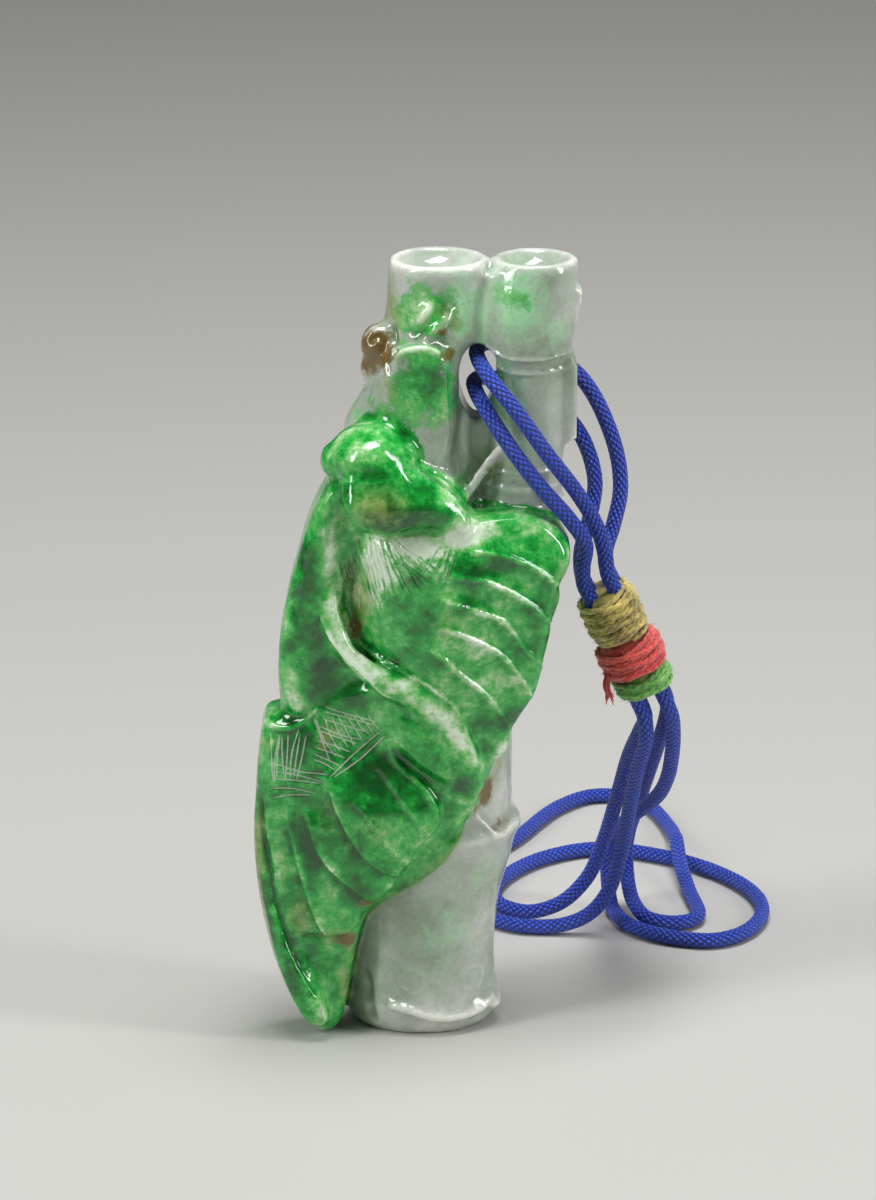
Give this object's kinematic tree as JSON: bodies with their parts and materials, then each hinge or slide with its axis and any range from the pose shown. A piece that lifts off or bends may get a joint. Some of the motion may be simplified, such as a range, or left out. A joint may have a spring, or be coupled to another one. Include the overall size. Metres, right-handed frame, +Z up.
{
  "type": "jadeite bamboo and bat pendant",
  "caption": "Upright stone pendant carved as two bamboo stems with a bat over their front, on a braided cord with a thread whipping.",
  "frame": {"origin": "middle of the carving's footprint box, on the surface it stands on", "axes": "+Z up along the stems, +X to the viewer's right, -Y towards the viewer, the side the bat is on"},
  "size_m": [0.0434, 0.0639, 0.0642],
  "materials": {
    "jadeite": "polished mottled green and pale grey jadeite",
    "blue_cord": "braided nylon",
    "yellow_thread": "spun thread",
    "red_thread": "spun thread",
    "green_thread": "spun thread"
  },
  "bodies": {
    "root": {"jadeite_carving": "jadeite", "cord_upper_strand_a": "blue_cord", "cord_upper_strand_b": "blue_cord", "cord_loop_a": "blue_cord", "cord_loop_b": "blue_cord", "yellow_thread_whipping": "yellow_thread", "red_thread_whipping": "red_thread", "green_thread_whipping": "green_thread"}
  },
  "joints": []
}
